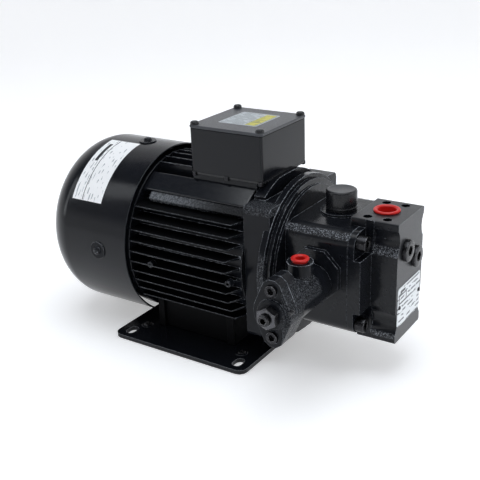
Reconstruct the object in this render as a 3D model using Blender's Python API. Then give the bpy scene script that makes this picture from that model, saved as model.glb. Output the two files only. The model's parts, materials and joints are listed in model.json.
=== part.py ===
"""Close-coupled electric motor and variable axial piston pump, as an assembly of separate pieces.

Dimensions are in millimetres in the code and become metres in the meshes. X runs along the shaft from
the fan towards the pump, -Y is the side of the pressure control, Z is up. The origin is the centre of
the base plate's bottom face.
"""

import math

import bmesh
import bpy
from mathutils import Matrix, Vector
from mathutils.geometry import convex_hull_2d

MM = 0.001
GAP = 0.3  # clearance between touching pieces
LARGE, ROUND, SMALL = 32, 20, 10  # sides of large, middling and small round shapes

# ---- driving dimensions -------------------------------------------------------------------------
SHAFT_Z = 90.0  # shaft height of a size 90 motor frame
BASE_HALF = (75.3, 84.5)
BASE_THICK = 4.0
BASE_CORNER = 8.0
SLOT_AT = (62.5, 71.5)  # half of the foot hole spacing along and across
SLOT_WIDTH, SLOT_LENGTH = 9.0, 14.0

FRAME_X = (-50.0, 66.0)
FRAME_BORE = 60.0
BARREL_R = 66.0
FIN_TIP_R = 80.0
FIN_PITCH = 10.0
FIN_THICK = 2.2
SIDE_FINS = 10
SIDE_FIN_TOP = 134.0
TOP_FIN_YS = (-25.0, -15.0, -5.0, 5.0, 15.0, 25.0)
FRAME_WALL_R = 63.0  # middle of the frame's wall, where fins and feet take root
PEDESTAL_X = (-3.0, 65.0)
PEDESTAL_HALF_Y = 36.0
PEDESTAL_TOP = 166.0
LEAD_HOLE_X, LEAD_HOLE_Y = (16.0, 48.0), (-12.0, 12.0)
FOOT_HALF_Y = 46.0
FOOT_X = (-46.0, 43.0)

COVER_R = 85.0
COVER_WALL = 1.5
COVER_RIM_X = -52.0
COVER_DOME_X = -125.6  # where the straight skirt turns into the dome
COVER_BACK_X = -161.4
COVER_BACK_R = 50.0  # flat inlet area of the dome
INLETS = 16
FAN_BLADES = 8

BOX_X = (-2.8, 72.5)
BOX_HALF_Y = 38.3
BOX_Z = (166.3, 206.3)
LID_THICK = 2.8

SHIELD_FACE_X = 93.0
SHIELD_DISC_R = 75.0
SHIELD_HALF = (61.0, 62.0)
PUMP_SPLIT_X = 158.0  # joint between the pump housing and the end cover
PUMP_HALF = (48.0, 46.0)
PUMP_MID_Z = 92.0
CAVITY_HALF = (40.0, 38.0)
CAVITY_CORNER = 18.0
CAVITY_FRONT_X = 103.0
FILL_X = 128.6
END_X = 193.3
BLOCK_HALF_Y = 27.0
BLOCK_Z = (36.8, 145.2)
PORT_X = 171.0
OVERHANG_X, OVERHANG_Z = 150.9, 138.3  # the port block's lip over the housing
BOLT_SEAT_X = 164.0
PORT_BORE_R = 9.8
FLANGE_PATTERN = (17.5 / 2, 38.1 / 2)  # half spacings of the 1/2 inch split-flange bolt pattern
BOLT_AT = (39.0, 37.0)  # end cover bolts, from the middle of the pump's section

SWASH_X = 125.0  # tilt axis of the swash plate, which passes through the plane of the ball centres
FULL_STROKE = math.radians(12.0)
PISTONS = 7
PITCH_R = 20.0
PISTON_R = 6.0
BALL_R = 4.2
SOLE = 7.0  # distance from ball centre to slipper sole
BALL_CIRCLE_R = PITCH_R * 2.0 / (1.0 + math.cos(FULL_STROKE))
BARREL_X = (134.0, 157.2)
CYLINDER_R = 29.0
CONTROL_AT = (24.0, 28.0)  # control piston, from the shaft axis; the bias piston is opposite

CONTROL_X, CONTROL_Z = 129.5, 91.5  # axis of the pressure control, along Y
CAP_FACE_Y = -120.0
CAP_BACK_Y = -110.3
BODY_END_Y = -52.3
CONTROL_PORT_Y = -75.0
CONTROL_SCREW_DZ = 20.15


# ---- shared helpers -----------------------------------------------------------------------------
def clear_scene():
    for obj in list(bpy.data.objects):
        bpy.data.objects.remove(obj, do_unlink=True)


def material(name, colour, roughness, metallic=0.0):
    found = bpy.data.materials.get(name)
    if found:
        return found
    made = bpy.data.materials.new(name)
    made.use_nodes = True
    shader = made.node_tree.nodes["Principled BSDF"]
    shader.inputs["Base Color"].default_value = (*colour, 1.0)
    shader.inputs["Roughness"].default_value = roughness
    shader.inputs["Metallic"].default_value = metallic
    return made


def black_paint():
    return material("black_paint", (0.012, 0.013, 0.015), 0.3)


def pressed_paint():
    return material("black_pressed_paint", (0.01, 0.011, 0.013), 0.22)


def steel():
    return material("steel", (0.45, 0.45, 0.46), 0.35, 1.0)


def dark_steel():
    return material("black_oxide_steel", (0.03, 0.03, 0.032), 0.38, 1.0)


def bronze():
    return material("bronze", (0.55, 0.36, 0.16), 0.35, 1.0)


def copper():
    return material("copper_winding", (0.6, 0.25, 0.1), 0.4, 0.8)


def red_plastic():
    return material("red_plastic", (0.8, 0.03, 0.01), 0.4)


def black_plastic():
    return material("black_plastic", (0.02, 0.02, 0.022), 0.5)


def finish(name, bm, mat, origin=(0.0, 0.0, 0.0)):
    """Turns a bmesh in millimetres into an object in metres, with its origin at the given point."""
    bmesh.ops.remove_doubles(bm, verts=bm.verts, dist=1e-4)
    bmesh.ops.recalc_face_normals(bm, faces=bm.faces)
    origin = Vector(origin)
    bm.transform(Matrix.Scale(MM, 4) @ Matrix.Translation(-origin))
    mesh = bpy.data.meshes.new(name)
    bm.to_mesh(mesh)
    bm.free()
    mesh.materials.append(mat)
    mesh.shade_smooth()
    mesh.set_sharp_from_angle(angle=math.radians(35.0))
    obj = bpy.data.objects.new(name, mesh)
    obj.location = origin * MM
    bpy.context.scene.collection.objects.link(obj)
    return obj


def tool(bm):
    """An operand of a Boolean: a helper that isn't part of the model."""
    obj = finish("tool", bm, black_paint())
    obj.hide_render = True
    obj.display_type = "WIRE"
    return obj


def combine(obj, other, operation):
    modifier = obj.modifiers.new(operation.title(), "BOOLEAN")
    modifier.operation = operation
    modifier.object = tool(other)


def join(obj, *others):
    for other in others:
        combine(obj, other, "UNION")


def cut(obj, *others):
    for other in others:
        combine(obj, other, "DIFFERENCE")


TURN_TO = {
    "X": Matrix.Identity(4),
    "Y": Matrix.Rotation(math.radians(90.0), 4, "Z"),
    "Z": Matrix.Rotation(math.radians(-90.0), 4, "Y"),
}


def turned(profile, axis="X", at=(0.0, 0.0, SHAFT_Z), steps=ROUND, bm=None):
    """A solid of revolution. The profile lists (along the axis, radius) from its origin at `at`; it is
    a closed ring, or starts and ends at radius 0, where a flat face closes it."""
    bm = bm or bmesh.new()
    before = set(bm.verts)
    verts = [bm.verts.new((along, 0.0, radius)) for along, radius in profile if radius > 0.0]
    edges = [bm.edges.new(pair) for pair in zip(verts, verts[1:])]
    hollow = profile[0][1] > 0.0
    if hollow:
        edges.append(bm.edges.new((verts[-1], verts[0])))
    bmesh.ops.spin(bm, geom=verts + edges, cent=(0, 0, 0), axis=(1, 0, 0), angle=math.tau, steps=steps,
                   use_merge=True, use_duplicate=False)
    made = [v for v in bm.verts if v not in before]
    if not hollow:
        rims = [e for e in bm.edges if len(e.link_faces) == 1]
        bmesh.ops.holes_fill(bm, edges=rims, sides=0)
    bmesh.ops.transform(bm, matrix=Matrix.Translation(Vector(at)) @ TURN_TO[axis], verts=made)
    return bm


def rod(low, high, radius, axis="X", at=(0.0, 0.0, SHAFT_Z), steps=ROUND, bm=None):
    return turned([(low, 0.0), (low, radius), (high, radius), (high, 0.0)], axis, at, steps, bm)


def ring(low, high, inner, outer, axis="X", at=(0.0, 0.0, SHAFT_Z), steps=ROUND, bm=None):
    return turned([(low, inner), (low, outer), (high, outer), (high, inner)], axis, at, steps, bm)


def prism(outline, axis, low, high, bm=None):
    """An outline extruded along an axis. Its points are (y, z) for X, (x, z) for Y and (x, y) for Z."""
    bm = bm or bmesh.new()
    place = {
        "X": lambda a, b: (low, a, b),
        "Y": lambda a, b: (a, low, b),
        "Z": lambda a, b: (a, b, low),
    }[axis]
    face = bm.faces.new([bm.verts.new(place(a, b)) for a, b in outline])
    grown = bmesh.ops.extrude_face_region(bm, geom=[face])["geom"]
    step = Vector([(high - low) * (name == axis) for name in "XYZ"])
    bmesh.ops.translate(bm, vec=step, verts=[v for v in grown if isinstance(v, bmesh.types.BMVert)])
    return bm


def block(x, y, z, bm=None):
    """A box between two limits along each axis."""
    outline = [(x[0], y[0]), (x[1], y[0]), (x[1], y[1]), (x[0], y[1])]
    return prism(outline, "Z", z[0], z[1], bm)


def blocks_about_shaft(count, x, width, radial, skip=()):
    """Equal blocks around the shaft from the top, each between two distances from its axis."""
    bm = bmesh.new()
    for i in (k for k in range(count) if k not in skip):
        before = set(bm.verts)
        block(x, (-width / 2, width / 2), radial, bm)
        about = Matrix.Translation((0, 0, SHAFT_Z)) @ Matrix.Rotation(math.tau * i / count, 4, "X")
        bmesh.ops.transform(bm, matrix=about, verts=[v for v in bm.verts if v not in before])
    return bm


def arc(centre, radius, start, end, steps):
    """Points of an arc, with its angles in degrees."""
    turns = [math.radians(start + (end - start) * i / steps) for i in range(steps + 1)]
    return [(centre[0] + radius * math.cos(a), centre[1] + radius * math.sin(a)) for a in turns]


def rounded(half, radius, middle=(0.0, 0.0), steps=3):
    """A rectangle with round corners, from its half sizes."""
    a, b = half[0] - radius, half[1] - radius
    outline = []
    for quarter, (sa, sb) in enumerate(((1, 1), (-1, 1), (-1, -1), (1, -1))):
        corner = (middle[0] + sa * a, middle[1] + sb * b)
        outline += arc(corner, radius, 90.0 * quarter, 90.0 * quarter + 90.0, steps)
    return outline


def oval_flange(middle, centre_r, end_r, spacing, steps=ROUND):
    """The rounded diamond of a two-bolt flange: a circle and two smaller ones, one at each end."""
    points = arc(middle, centre_r, 0, 360, steps)[:-1]
    for side in (-1, 1):
        points += arc((middle[0], middle[1] + side * spacing), end_r, 0, 360, steps // 2)[:-1]
    return [points[i] for i in convex_hull_2d([Vector(p) for p in points])]


def hexagon(middle, across_flats, turn=0.0):
    return arc(middle, across_flats / math.sqrt(3.0), turn, turn + 360.0, 6)[:-1]


def both(values):
    return [(sa * values[0], sb * values[1]) for sa in (-1, 1) for sb in (-1, 1)]


# ---- base and motor -----------------------------------------------------------------------------
def make_base_plate():
    plate = finish("base_plate", prism(rounded(BASE_HALF, BASE_CORNER), "Z", 0.0, BASE_THICK), black_paint())
    slots = bmesh.new()
    for x, y in both(SLOT_AT):
        outline = rounded((SLOT_WIDTH / 2, SLOT_LENGTH / 2), SLOT_WIDTH / 2 - 0.01, (x, y), 3)
        prism(outline, "Z", -1.0, BASE_THICK + 1.0, slots)
    cut(plate, slots)


def wall_z(y, upper):
    """The height of the middle of the frame's wall, above or below the shaft, at a given y."""
    rise = math.sqrt(FRAME_WALL_R**2 - y**2)
    return SHAFT_Z + rise if upper else SHAFT_Z - rise


def make_motor_frame():
    low, high = FRAME_X
    frame = finish("motor_frame", ring(low, high, FRAME_BORE, BARREL_R, steps=LARGE), black_paint())
    side_fins = bmesh.new()
    for i in range(SIDE_FINS):
        z = SIDE_FIN_TOP - FIN_PITCH * i
        root, tip = (math.sqrt(r**2 - (z - SHAFT_Z) ** 2) for r in (FRAME_WALL_R, FIN_TIP_R))
        for y in ((-tip, -root), (root, tip)):
            block((low, high), y, (z - FIN_THICK / 2, z + FIN_THICK / 2), side_fins)
    top_fins = bmesh.new()
    for y in TOP_FIN_YS:
        top = SHAFT_Z + math.sqrt(FIN_TIP_R**2 - y**2)
        block((low, BOX_X[0] - 0.6), (y - FIN_THICK / 2, y + FIN_THICK / 2), (wall_z(y, True), top), top_fins)
    name_pads = bmesh.new()
    for side in (-1, 1):
        outline = [(36.0, 159.5), (53.5, 147.5), (58.5, 140.5), (52.0, 128.0), (33.0, 144.0)]
        prism([(side * y, z) for y, z in outline], "X", low, high, name_pads)
    half = PEDESTAL_HALF_Y
    reach = math.degrees(math.acos(half / FRAME_WALL_R))
    seat = arc((0.0, SHAFT_Z), FRAME_WALL_R, reach, 180.0 - reach, 12)
    pedestal = prism(seat + [(-half, PEDESTAL_TOP), (half, PEDESTAL_TOP)], "X", *PEDESTAL_X)
    reach = math.degrees(math.acos(FOOT_HALF_Y / FRAME_WALL_R))
    seat = arc((0.0, SHAFT_Z), FRAME_WALL_R, 180.0 + reach, 360.0 - reach, 12)
    sole = BASE_THICK + GAP
    feet = prism(seat + [(FOOT_HALF_Y, sole), (-FOOT_HALF_Y, sole)], "X", *FOOT_X)
    ribs = bmesh.new()
    for x in ((-45.5, -38.5), (35.5, 42.5)):
        for y in ((-FOOT_HALF_Y - 3.0, -FOOT_HALF_Y + 2.0), (FOOT_HALF_Y - 2.0, FOOT_HALF_Y + 3.0)):
            block(x, y, (sole, 46.0), ribs)
    join(frame, side_fins, top_fins, name_pads, pedestal, feet, ribs)
    cut(frame, block(LEAD_HOLE_X, LEAD_HOLE_Y, (140.0, PEDESTAL_TOP + 1.0)))


def make_rear_shield():
    profile = [(-62, 14), (-62, 79), (-50.3, 79), (-50.3, 59.5), (-47, 59.5), (-47, 56), (-55, 56), (-55, 33),
               (-44.5, 33), (-44.5, 26.3), (-59, 26.3), (-59, 14)]
    shield = finish("rear_shield", turned(profile, steps=LARGE), black_paint())
    cover_lugs = blocks_about_shaft(4, (-92.0, -60.0), 14.0, (74.5, 82.0), skip=(2,))  # none in the notch
    join(shield, cover_lugs)


def make_front_shield():
    face = SHIELD_FACE_X
    back = FRAME_X[1] + GAP
    shield = finish("front_shield", prism(rounded(SHIELD_HALF, 5.0, (0.0, SHAFT_Z)), "X", back, face - 0.5),
                    black_paint())
    saddle = [(y, min(z, PEDESTAL_TOP - 0.1)) for y, z in arc((0.0, SHAFT_Z), 77.5, 57.0, 123.0, 20)]
    saddle += [(saddle[-1][0], 140.0), (saddle[0][0], 140.0)]
    spigot = rod(back - 3.0, back + 1.0, 59.5, steps=LARGE)
    join(shield, rod(face - 6.0, face, SHIELD_DISC_R, steps=LARGE), prism(saddle, "X", back, 77.0), spigot)
    low = back - 4.0
    bore = turned([(low, 0), (low, 26.3), (77, 26.3), (77, 17), (81.5, 17), (81.5, 24), (face - 3.0, 24),
                   (face - 3.0, 40), (face + 2.0, 40), (face + 2.0, 0)], steps=LARGE)
    ring(low, 80.0, 33.0, 56.0, steps=LARGE, bm=bore)
    cut(shield, bore)


def make_electrics():
    finish("stator_core", ring(-32.0, 38.0, 36.0, 59.4, steps=LARGE), steel())
    for name, low, high in (("winding_rear", -46.0, -32.3), ("winding_front", 38.3, 54.0)):
        profile = [(low, 43), (low, 53), (low + 3, 56), (high - 1, 56), (high, 53), (high, 43), (high - 3, 41)]
        finish(name, turned(profile, steps=ROUND), copper())
    finish("rotor_core", ring(-36.0, 42.0, 12.5, 35.4, steps=ROUND), steel(), (0, 0, SHAFT_Z))


def make_motor_shaft():
    profile = [(-98, 0), (-98, 7.5), (-97.5, 8), (-61.5, 8), (-61.5, 12.2), (77.5, 12.2), (77.5, 15), (90, 15),
               (90, 9.3), (80.5, 9.3), (80.5, 0)]
    finish("motor_shaft", turned(profile), steel(), (0, 0, SHAFT_Z))
    for name, low, high in (("rear_bearing", -58.7, -44.8), ("front_bearing", 62.0, 76.0)):
        finish(name, ring(low, high, 12.5, 26.0), steel())


def make_cooling_fan():
    profile = [(-96, 8.3), (-96, 17), (-79.5, 19), (-79.5, 66), (-76.5, 66), (-76.5, 8.3)]
    fan = finish("cooling_fan", turned(profile), black_plastic(), (0, 0, SHAFT_Z))
    blades = blocks_about_shaft(FAN_BLADES, (-97.0, -77.0), 2.4, (16.0, 64.0))
    join(fan, blades)


def dome(outset, steps=6):
    """The cover's outline from the rim to the back, as (along, radius), moved inwards by the outset."""
    exponent = 2.0 / 1.8
    length = COVER_DOME_X - COVER_BACK_X - outset
    drop = COVER_R - COVER_BACK_R
    points = [(COVER_RIM_X, COVER_R - outset)]
    for i in range(steps + 1):
        a = math.pi / 2 * i / steps
        along = COVER_DOME_X - length * math.sin(a) ** exponent
        points.append((along, COVER_BACK_R - outset + drop * max(math.cos(a), 0.0) ** exponent))
    return points + [(COVER_BACK_X + outset, 0.0)]


def make_fan_cover():
    profile = list(reversed(dome(0.0))) + dome(COVER_WALL)
    cover = finish("fan_cover", turned(profile, steps=LARGE), pressed_paint())
    inlets = blocks_about_shaft(INLETS, (COVER_BACK_X - 2.0, COVER_BACK_X + 4.0), 4.4, (15.0, 44.0))
    plate_notch = block((-106.0, COVER_RIM_X + 2.0), (-60.0, 60.0), (0.0, 21.0))
    cut(cover, inlets, plate_notch)


def make_terminal_box():
    mid = (sum(BOX_X) / 2, 0.0)
    half = ((BOX_X[1] - BOX_X[0]) / 2, BOX_HALF_Y)
    box = finish("terminal_box", prism(rounded(half, 2.5, mid), "Z", *BOX_Z), black_paint())
    inside = prism(rounded((half[0] - 3.0, half[1] - 3.0), 3.0, mid), "Z", BOX_Z[0] + 3.0, BOX_Z[1] + 1.0)
    entry = rod(BOX_HALF_Y - 5.0, BOX_HALF_Y + 2.0, 10.0, "Y", (35.0, 0.0, 187.0))
    cut(box, inside, block(LEAD_HOLE_X, LEAD_HOLE_Y, (160.0, 172.0)), entry)
    lid = prism(rounded((half[0] + 0.5, half[1] + 0.5), 3.0, mid), "Z", BOX_Z[1] + GAP, BOX_Z[1] + GAP + LID_THICK)
    finish("terminal_box_lid", lid, black_paint())
    board = finish("terminal_block", block((14.0, 52.0), (14.0, 30.0), (BOX_Z[0] + 3.3, 178.0)), black_plastic())
    studs = bmesh.new()
    for x in (20.0, 33.0, 46.0):
        for y in (18.0, 26.0):
            rod(170.0, 190.0, 2.0, "Z", (x, y, 0.0), 12, studs)
    join(board, studs)
    plug = [(BOX_HALF_Y - 5.0, 0), (BOX_HALF_Y - 5.0, 9.6), (BOX_HALF_Y + GAP, 9.6), (BOX_HALF_Y + GAP, 13),
            (BOX_HALF_Y + 4.0, 13), (BOX_HALF_Y + 5.0, 11.5), (BOX_HALF_Y + 5.0, 0)]
    finish("cable_entry_plug", turned(plug, "Y", (35.0, 0.0, 187.0)), black_plastic())


# ---- pump ---------------------------------------------------------------------------------------
def bolt_centres():
    return [(y, PUMP_MID_Z + z) for y, z in both(BOLT_AT)]


def make_pump_housing():
    section = rounded(PUMP_HALF, 12.0, (0.0, PUMP_MID_Z))
    housing = finish("pump_housing", prism(section, "X", 98.5, PUMP_SPLIT_X), black_paint())
    flange = [(90.3, 0), (90.3, 39.7), (93.3, 39.7), (93.3, 71), (97, 71), (97.5, 66), (100, 66), (100, 0)]
    pad = arc((CONTROL_X, 98.0), 24.5, 22.5, 382.5, 8)[:-1]
    join(
        housing,
        turned(flange, steps=LARGE),
        rod(133.0, 140.0, 18.0, "Z", (FILL_X, 0.0, 0.0)),
        prism(pad, "Y", -52.0, -44.0),
    )
    cut(
        housing,
        prism(rounded(CAVITY_HALF, CAVITY_CORNER, (0.0, PUMP_MID_Z)), "X", CAVITY_FRONT_X, PUMP_SPLIT_X + 1.0),
        turned([(89, 0), (89, 12), (92, 12), (92, 17.3), (104, 17.3), (104, 0)], steps=ROUND),
        rod(120.0, 142.0, 10.0, "Z", (FILL_X, 0.0, 0.0)),
        rod(-45.0, -39.0, 8.3, "Y", (SWASH_X, 0.0, SHAFT_Z)),
        rod(39.0, 45.0, 8.3, "Y", (SWASH_X, 0.0, SHAFT_Z)),
        rod(-53.0, -30.0, 3.0, "Y", (CONTROL_X, 0.0, 106.0), 12),
    )
    holes = bmesh.new()
    for y, z in bolt_centres():
        rod(146.0, PUMP_SPLIT_X + 1.0, 4.3, "X", (0.0, y, z), 10, holes)
    cut(housing, holes)


def make_pump_shaft():
    profile = [(81, 0), (81, 8.5), (81.5, 9), (157.5, 9), (157.5, 7), (172, 7), (172, 0)]
    finish("pump_shaft", turned(profile), steel(), (0, 0, SHAFT_Z))
    finish("pump_bearing", ring(93.3, 102.7, 9.3, 17.0, steps=ROUND), steel())


def swash_frame():
    """Places a piece that is drawn about the ball centres' plane, with the plate's normal along X."""
    return Matrix.Translation((SWASH_X, 0.0, SHAFT_Z)) @ Matrix.Rotation(FULL_STROKE, 4, "Y")


def placed(bm, matrix):
    bm.transform(matrix)
    return bm


def make_swash_plate():
    frame = swash_frame()
    centre = (0.0, 0.0, 0.0)
    pivot = (SWASH_X, 0.0, SHAFT_Z)
    plate = prism(rounded((36.0, 31.0), 12.0), "X", -SOLE - 7.0, -SOLE)
    swash = finish("swash_plate", placed(plate, frame), steel(), pivot)
    cheeks = bmesh.new()
    for side in (-1, 1):
        y = sorted((side * 31.5, side * 36.0))
        block((-SOLE - 6.0, 7.5), y, (-8.0, 8.0), cheeks)
    pins = bmesh.new()
    for side in (-1, 1):
        low, high = sorted((side * 35.0, side * 44.6))
        rod(low, high, 8.0, "Y", centre, ROUND, pins)
    join(swash, placed(cheeks, frame), placed(pins, frame))
    cut(swash, placed(rod(-SOLE - 9.0, -SOLE + 2.0, 13.0, "X", centre), frame))


def ball_centre(i, radius):
    """A ball's place about the shaft, as (y, z), from its index and the circle's radius."""
    angle = math.tau * i / PISTONS
    return radius * math.sin(angle), radius * math.cos(angle)


def make_retainer_plate():
    frame = swash_frame()
    plate = finish("retainer_plate", placed(ring(-4.2, -2.4, 11.0, 27.5, "X", (0, 0, 0)), frame), steel(),
                   (SWASH_X, 0.0, SHAFT_Z))
    holes = bmesh.new()
    for i in range(PISTONS):
        y, z = ball_centre(i, BALL_CIRCLE_R)
        rod(-6.0, 0.0, 6.2, "X", (0.0, y, z), SMALL, holes)
    cut(plate, placed(holes, frame))


def make_slippers_and_pistons():
    frame = swash_frame()
    cup_r = BALL_R + 0.4
    sole = -SOLE + 0.2
    slipper = [(sole, 0), (sole, 7), (-4.6, 7), (-4.4, 5.7), (1.0, 5.6), (1.0, cup_r)]
    slipper += [(cup_r * math.sin(a), cup_r * math.cos(a)) for a in (0.0, -math.radians(35), -math.radians(70))]
    slipper.append((slipper[-1][0], 0.0))
    ball = [(BALL_R * math.sin(a), BALL_R * math.cos(a)) for a in (math.radians(d) for d in (-65, -25, 15, 50))]
    piston = [(ball[0][0], 0.0)] + ball + [(6.2, 2.5), (7.4, PISTON_R), (23.5, PISTON_R), (23.5, 0.0)]
    for i in range(PISTONS):
        y, z = ball_centre(i, BALL_CIRCLE_R)
        at = frame @ Vector((0.0, y, z))
        shoe = placed(turned(slipper, "X", (0.0, y, z), SMALL), frame)
        finish(f"slipper_{i + 1}", shoe, bronze(), at)
        finish(f"piston_{i + 1}", turned(piston, "X", at, SMALL), steel(), at)


def make_cylinder_barrel():
    barrel = finish("cylinder_barrel", ring(*BARREL_X, 9.3, CYLINDER_R), steel(), (0, 0, SHAFT_Z))
    bores = bmesh.new()
    feeds = bmesh.new()
    for i in range(PISTONS):
        y, z = ball_centre(i, PITCH_R)
        rod(BARREL_X[0] - 1.0, 153.6, PISTON_R + 0.5, "X", (0.0, y, SHAFT_Z + z), 16, bores)
        rod(150.0, BARREL_X[1] + 1.0, 3.0, "X", (0.0, y, SHAFT_Z + z), 8, feeds)
    cut(barrel, bores, feeds)


def kidney(side, half_width, span, steps=6):
    """A curved port on the pitch circle, on one side of the shaft, as (y, z) points."""
    middle = 0.0 if side > 0 else 180.0
    centre = (0.0, SHAFT_Z)
    outer = arc(centre, PITCH_R + half_width, middle - span, middle + span, steps)
    inner = arc(centre, PITCH_R - half_width, middle + span, middle - span, steps)
    return outer + inner


def make_valve_plate():
    plate = finish("valve_plate", ring(157.5, 160.2, 11.0, CYLINDER_R), bronze())
    ports = bmesh.new()
    for side in (-1, 1):
        prism(kidney(side, 3.0, 58.0), "X", 156.0, 162.0, ports)
    cut(plate, ports)


def make_stroke_pistons():
    """The control piston swings the swash plate back, and the bias piston opposite holds it at stroke."""
    tip = 4.9
    for name, side, rear in (("control_piston", 1.0, 156.0), ("bias_piston", -1.0, 150.0)):
        y, dz = side * CONTROL_AT[0], side * CONTROL_AT[1]
        centre = (tip - SOLE) / math.cos(FULL_STROKE) + dz * math.tan(FULL_STROKE) + GAP
        nose = [(centre - tip * math.cos(a), tip * math.sin(a)) for a in
                (math.pi / 2 * k / 3 for k in range(4))]
        profile = [(nose[0][0], 0.0)] + nose[1:] + [(rear - SWASH_X, tip), (rear - SWASH_X, 0.0)]
        at = (SWASH_X, y, SHAFT_Z + dz)
        finish(name, turned(profile, "X", at, SMALL), steel(), at)


def make_end_cover():
    mid_z = sum(BLOCK_Z) / 2
    half_z = (BLOCK_Z[1] - BLOCK_Z[0]) / 2
    face = PUMP_SPLIT_X + GAP
    valve_block = prism(rounded((BLOCK_HALF_Y, half_z), 1.5, (0.0, mid_z), 3), "X", OVERHANG_X, END_X)
    cover = finish("end_cover", valve_block, black_paint())
    cut(cover, block((OVERHANG_X - 1.0, face), (-40.0, 40.0), (0.0, OVERHANG_Z)))
    guides = bmesh.new()
    for side in (-1.0, 1.0):
        at = (0.0, side * CONTROL_AT[0], SHAFT_Z + side * CONTROL_AT[1])
        ring(140.0, face + 2.0, 5.25, 7.0, "X", at, SMALL, guides)
    join(cover, prism(rounded(PUMP_HALF, 12.0, (0.0, PUMP_MID_Z)), "X", face, 170.0), guides)
    pockets = bmesh.new()
    for y in ((-60.0, -26.0), (26.0, 60.0)):
        for z in ((PUMP_MID_Z - 60.0, PUMP_MID_Z - 24.0), (PUMP_MID_Z + 24.0, PUMP_MID_Z + 60.0)):
            block((BOLT_SEAT_X, 171.5), y, z, pockets)
    waists = bmesh.new()
    shanks = bmesh.new()
    for y, z in bolt_centres():
        rod(171.0, END_X + 1.0, 16.0, "X", (0.0, y, z), ROUND, waists)
        rod(157.0, 166.0, 4.3, "X", (0.0, y, z), 10, shanks)
    port_bores = bmesh.new()
    rod(104.0, BLOCK_Z[1] + 1.0, PORT_BORE_R, "Z", (PORT_X, 0.0, 0.0), ROUND, port_bores)
    rod(BLOCK_Z[0] - 1.0, 76.0, PORT_BORE_R, "Z", (PORT_X, 0.0, 0.0), ROUND, port_bores)
    feeds = bmesh.new()
    rod(157.0, 172.0, 4.0, "X", (0.0, 9.0, 108.0), 8, feeds)
    rod(157.0, 172.0, 4.0, "X", (0.0, -9.0, 72.0), 8, feeds)
    threads = bmesh.new()
    for dx, y in both(FLANGE_PATTERN):
        rod(BLOCK_Z[1] - 15.0, BLOCK_Z[1] + 1.0, 4.0, "Z", (PORT_X + dx, y, 0.0), 12, threads)
        rod(BLOCK_Z[0] - 1.0, BLOCK_Z[0] + 15.0, 4.0, "Z", (PORT_X + dx, y, 0.0), 12, threads)
    plugs = bmesh.new()
    for y, z in end_plug_centres():
        rod(183.0, END_X + 1.0, 8.0, "X", (0.0, y, z), 16, plugs)
    seat_r = CYLINDER_R + 0.4
    recess = turned([(157, 0), (157, seat_r), (160.5, seat_r), (160.5, 7.4), (173, 7.4), (173, 0)], steps=LARGE)
    cut(cover, pockets, waists, shanks, recess, port_bores, feeds, threads, plugs)


def end_plug_centres():
    return [(-9.5, 117.4), (10.5, 105.0)]


def screw_profile(head_r, head_h, shank_r, shank_l):
    """A cap screw along +X, with its head's seat at 0 and its shank towards -X."""
    return [(-shank_l, 0), (-shank_l, shank_r), (0, shank_r), (0, head_r), (head_h - 0.6, head_r),
            (head_h, head_r - 0.6), (head_h, 0)]


def make_end_cover_fasteners():
    for i, (y, z) in enumerate(bolt_centres()):
        at = (BOLT_SEAT_X + GAP, y, z)
        bolt = finish(f"end_cover_bolt_{i + 1}", turned(screw_profile(6.5, 8.0, 4.0, 17.0), "X", at, SMALL),
                      dark_steel(), at)
        cut(bolt, prism(hexagon((y, z), 6.0), "X", 168.0, 173.0))
    for i, (y, z) in enumerate(end_plug_centres()):
        at = (END_X + GAP, y, z)
        plug = finish(f"end_plug_{i + 1}", turned(screw_profile(9.5, 3.6, 7.7, 9.0), "X", at, 20), dark_steel(), at)
        cut(plug, prism(hexagon((y, z), 8.0), "X", 190.0, 199.0))


def cup_plug(name, at, flange_r, shank_r, cup_r, depth):
    """A push-in protection plug along Z: a thin flange over a hollow shank."""
    profile = [(-depth, 0), (-depth, shank_r), (GAP, shank_r), (GAP, flange_r), (1.6, flange_r),
               (2.2, flange_r - 0.6), (2.2, cup_r), (1.5 - depth, cup_r), (1.5 - depth, 0)]
    finish(name, turned(profile, "Z", at, ROUND), red_plastic(), at)


def make_fill_cap():
    at = (FILL_X, 0.0, 140.0)
    profile = [(-12, 0), (-12, 9.7), (0.3, 9.7), (0.3, 13.6), (17.5, 13.6), (18.5, 12.6), (18.5, 0)]
    finish("fill_cap", turned(profile, "Z", at, 30), black_plastic(), at)


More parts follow.
